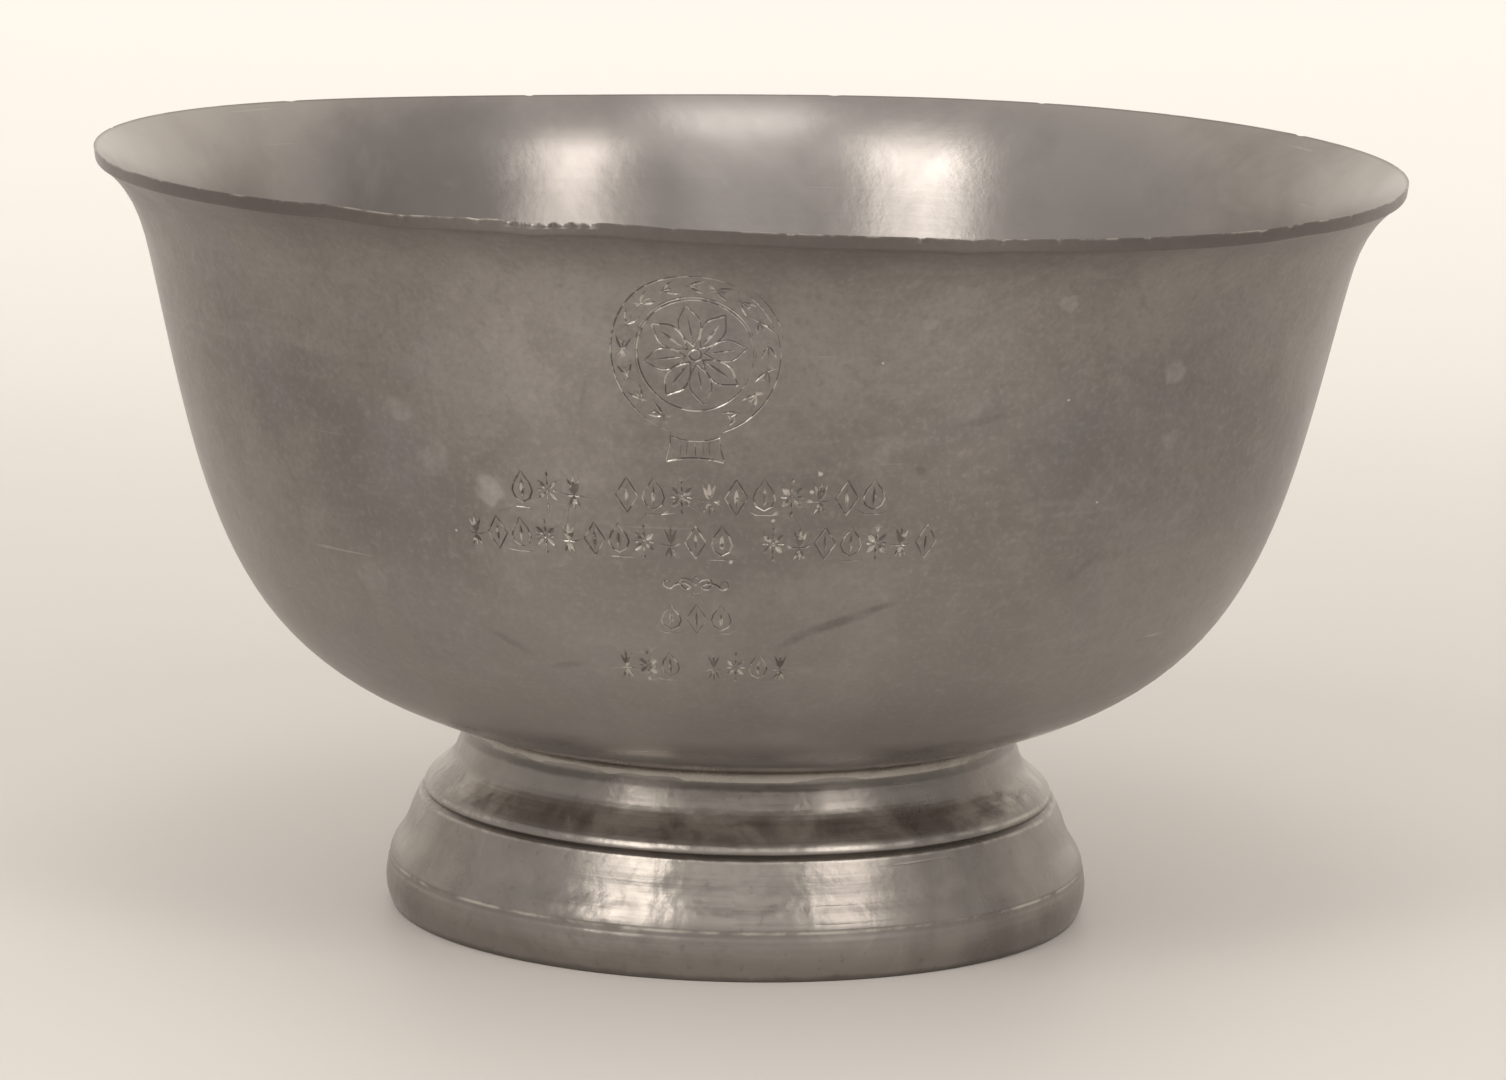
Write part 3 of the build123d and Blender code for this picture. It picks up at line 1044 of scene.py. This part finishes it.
def spun(name, tree, profile, metal, values):
    # a closed turned piece, made a plain mesh
    line = bpy.data.meshes.new(name + "Line")
    links = [(i, i + 1) for i in range(len(profile) - 1)]
    line.from_pydata([(r * mm, 0, z * mm) for r, z in profile], links, [])
    maker = bpy.data.objects.new(name + "Maker", line)
    bpy.context.scene.collection.objects.link(maker)
    modifier = maker.modifiers.new("spin", "NODES")
    modifier.node_group = tree
    given = {item.name: item.identifier for item in tree.interface.items_tree if item.in_out == "INPUT"}
    settings = {"Steps Around": values["steps"], "Profile Points": len(profile),
                "Wobble": values["wobble"] * mm, "Wobble Size": values["wobbleSize"],
                "Seed": values["seed"], "Metal": metal}
    for label, value in settings.items():
        modifier[given[label]] = value
    bpy.context.view_layer.update()
    ready = maker.evaluated_get(bpy.context.evaluated_depsgraph_get())
    mesh = bpy.data.meshes.new_from_object(ready)
    bpy.data.objects.remove(maker)
    mesh.name = name
    if signedVolume(mesh) < 0:
        mesh.flip_normals()
    mesh.set_sharp_from_angle(angle=math.radians(50))
    piece = bpy.data.objects.new(name, mesh)
    bpy.context.scene.collection.objects.link(piece)
    print(name, "made:", len(mesh.polygons), "faces")
    return piece


def signedVolume(mesh):
    mesh.calc_loop_triangles()
    place = np.zeros(len(mesh.vertices) * 3, np.float32)
    mesh.vertices.foreach_get("co", place)
    place = place.reshape(-1, 3).astype(float)
    tris = np.array([t.vertices[:] for t in mesh.loop_triangles])
    a, b, c = place[tris[:, 0]], place[tris[:, 1]], place[tris[:, 2]]
    return float((a * np.cross(b, c)).sum() / 6)


# rings of painted shade as (height, half height, strength, raggedness) and of painted highlights as (height,
# half height, strength), in metres
shadeRings = [(0.0206, 0.0007, 0.55, 0.4), (0.01365, 0.00035, 0.5, 0.1), (0.0054, 0.0004, 0.15, 0.1),
             (0.0, 0.0009, 0.5, 0.6)]
paintedHighlightRings = [(0.0163, 0.0019, 0.55), (0.0144, 0.00035, 0.5), (0.0057, 0.0003, 0.8), (0.0131, 0.0003, 0.4)]

footLook = {
    "dark": (0.188, 0.172, 0.157),
    "mid": (0.278, 0.257, 0.237),
    "pale": (0.37, 0.346, 0.32),
    "bright": (0.62, 0.58, 0.53),
    "grimeAndShade": (0.06, 0.052, 0.043),
    "rough": (0.235, 0.35),
}


def ringMask(tree, height, level, edgeHalf, half, strength):
    # strongest at the level, and gone half a ring away
    gap = calc(tree, "ABSOLUTE", calc(tree, "SUBTRACT", height, level))
    return times(tree, spread(tree, gap, edgeHalf, half, 1.0, 0.0), strength)


def footMetal(values, name="footPewter"):
    material, tree, shader = newMaterial(name)
    shader.inputs["Metallic"].default_value = 1.0
    place = node(tree, "ShaderNodeTexCoord").outputs["Object"]
    spunShine(tree, shader, place, 0.35)
    parts = node(tree, "ShaderNodeSeparateXYZ", {"Vector": place})
    x, y, z = parts.outputs["X"], parts.outputs["Y"], parts.outputs["Z"]
    broad = cloud(tree, place, 45.0, 5.0, 0.6, 0.5, 1.1)
    middle = cloud(tree, place, 150.0, 6.0, 0.62, 0.6, 3.4)
    fine = cloud(tree, place, 800.0, 4.0, 0.6, 0.0, 6.5)
    colour = blendColour(tree, spread(tree, broad, 0.32, 0.62), values["dark"], values["mid"])
    colour = tinted(tree, colour, values["pale"], middle, 0.5, 0.75, 0.5)
    colour = tinted(tree, colour, values["dark"], middle, 0.46, 0.26, 0.5)
    colour = tinted(tree, colour, values["dark"], fine, 0.42, 0.30, 0.5)

    # painted shade below the seam, in the groove and in the crease, and a painted contact shadow round the
    # standing edge
    for level, half, strength, ragged in shadeRings:
        shift = times(tree, calc(tree, "SUBTRACT", middle, 0.5), 0.0022 * ragged)
        mask = ringMask(tree, plus(tree, z, shift), level, half * 0.3, half, strength)
        mask = times(tree, mask, spread(tree, broad, 0.3, 0.6, 0.4, 1.0))
        colour = blendColour(tree, mask, colour, values["grimeAndShade"])
    # painted highlights along the edges and ridges of the foot
    for level, half, strength in paintedHighlightRings:
        mask = times(tree, ringMask(tree, z, level, 0.0, half, strength), spread(tree, middle, 0.42, 0.6))
        colour = blendColour(tree, mask, colour, values["bright"])

    # scratches on the unrolled foot
    bearing = calc(tree, "ARCTAN2", x, y)
    radius = calc(tree, "SQRT", plus(tree, times(tree, x, x), times(tree, y, y)))
    unrolled = {"X": times(tree, bearing, 0.040), "Y": z, "Z": radius}
    flat = node(tree, "ShaderNodeCombineXYZ", unrolled).outputs[0]
    lines = calc(tree, "MAXIMUM", hairScratches(tree, flat, 8, 3.0), hairScratches(tree, flat, 70, 8.0))
    colour = blendColour(tree, times(tree, lines, 0.35), colour, values["bright"])
    tree.links.new(colour, shader.inputs["Base Color"])
    rough = spread(tree, middle, 0.3, 0.7, *values["rough"])
    rough = plus(tree, rough, times(tree, spread(tree, broad, 0.4, 0.62), 0.05))
    tree.links.new(rough, shader.inputs["Roughness"])

    # spun rings, grain and knocks, thickest where the foot has been handled
    rings = cloud(tree, stretch(tree, flat, (10, 1300, 1300)), 1.0, 2.0, 0.5, 0.0, 6.3)
    height = plus(tree, times(tree, rings, 0.5), times(tree, fine, 0.35))
    height = plus(tree, height, times(tree, cloud(tree, place, 110.0, 1.0, 0.4, 0.0, 3.9), 1.1))
    knocks = cloud(tree, place, 480.0, 1.0, 0.4, 0.0, 15.2)
    handled = spread(tree, cloud(tree, place, 55.0, 2.0, 0.5, 0.0, 21.7), 0.40, 0.65)
    height = plus(tree, height, times(tree, times(tree, knocks, handled), 1.5))
    height = calc(tree, "SUBTRACT", height, times(tree, lines, 0.4))
    bump = node(tree, "ShaderNodeBump", {"Height": height, "Strength": 0.36, "Distance": 0.0003})
    tree.links.new(bump.outputs[0], shader.inputs["Normal"])
    return material


solder = {
    "outerFoot": (32.35, 21.1),
    "outerBowl": (33.15, 22.5),
    "innerBowl": (29.9, 22.15),
    "innerFoot": (31.1, 20.65),
    "neckTop": 21.6,
    "steps": 360,
    "wobble": 0.3,
    "wobbleSize": 160.0,
    "seed": 8,
}
solderLook = {
    "dark": (0.30, 0.278, 0.25),
    "mid": (0.40, 0.373, 0.34),
    "pale": (0.50, 0.47, 0.43),
    "bright": (0.70, 0.67, 0.62),
    "grimeAndShade": (0.09, 0.08, 0.068),
    "rough": (0.20, 0.30),
}


def solderProfile(values):
    # a saddle on the top edge of the neck, with a hollow bead on each side; it tucks under the bowl
    outer, bowlSide = values["outerFoot"], values["outerBowl"]
    inner, inBowl = values["innerFoot"], values["innerBowl"]

    def hollow(foot, bowlEnd, steps):
        # a quarter turn, upright at the foot and level at the bowl
        turns = [math.radians(90 * step / steps) for step in range(steps + 1)]
        return [(foot[0] + (bowlEnd[0] - foot[0]) * (1 - math.cos(turn)),
                 foot[1] + (bowlEnd[1] - foot[1]) * math.sin(turn)) for turn in turns]

    bead = hollow(outer, bowlSide, 8)
    inBead = hollow(inner, inBowl, 6)
    top = values["neckTop"]
    line = [*bead, *inBead[::-1], (inner[0], top), (outer[0], top), bead[0]]
    return [tuple(map(float, p)) for p in line]


spin = spinTree("spin")
footPiece = spun("footShell", spin, footProfile(foot), footMetal(footLook), foot)
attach(footPiece, "root")
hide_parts("foot")

solderPiece = spun("solderBead", spin, solderProfile(solder), footMetal(solderLook, "solderTin"), solder)
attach(solderPiece, "root")
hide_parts("solder_joint")
